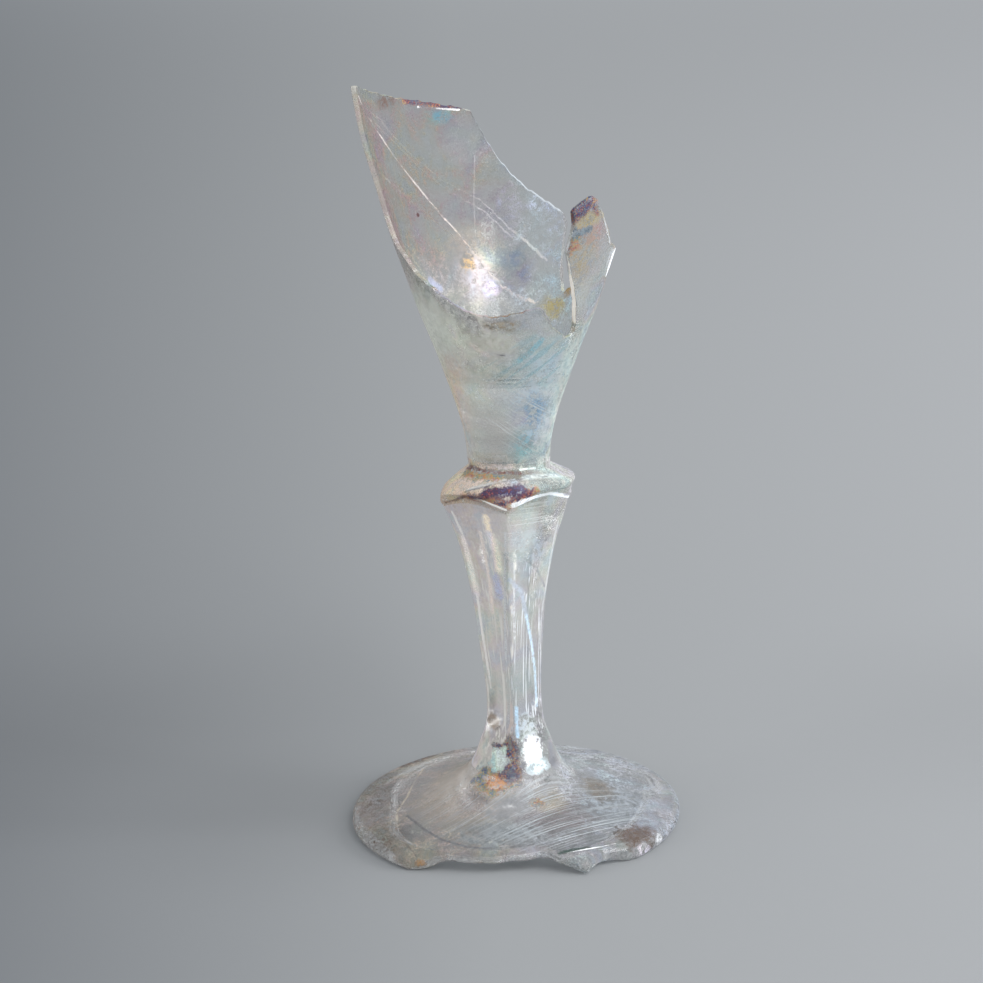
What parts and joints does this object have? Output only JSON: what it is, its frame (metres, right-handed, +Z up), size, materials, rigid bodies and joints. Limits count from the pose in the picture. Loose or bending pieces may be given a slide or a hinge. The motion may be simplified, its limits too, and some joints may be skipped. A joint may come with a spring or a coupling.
{
  "type": "broken wine glass",
  "caption": "Excavated drinking glass, broken: round foot with a folded rim, flared square stem, crooked collar and the jagged stump of a funnel bowl with standing shards.",
  "frame": {"origin": "centre of the bounding box in plan, on the plane that the foot rests on", "axes": "+Z up the stem to the bowl, -Y towards the front, where the foot is broken, +X to the right of that view"},
  "size_m": [0.0678, 0.0648, 0.1513],
  "materials": {
    "glass": "colourless glass hazed and iridescent from burial, with brown soil stains and fine scratches"
  },
  "bodies": {
    "root": {"broken_wine_glass": "glass"}
  },
  "joints": []
}
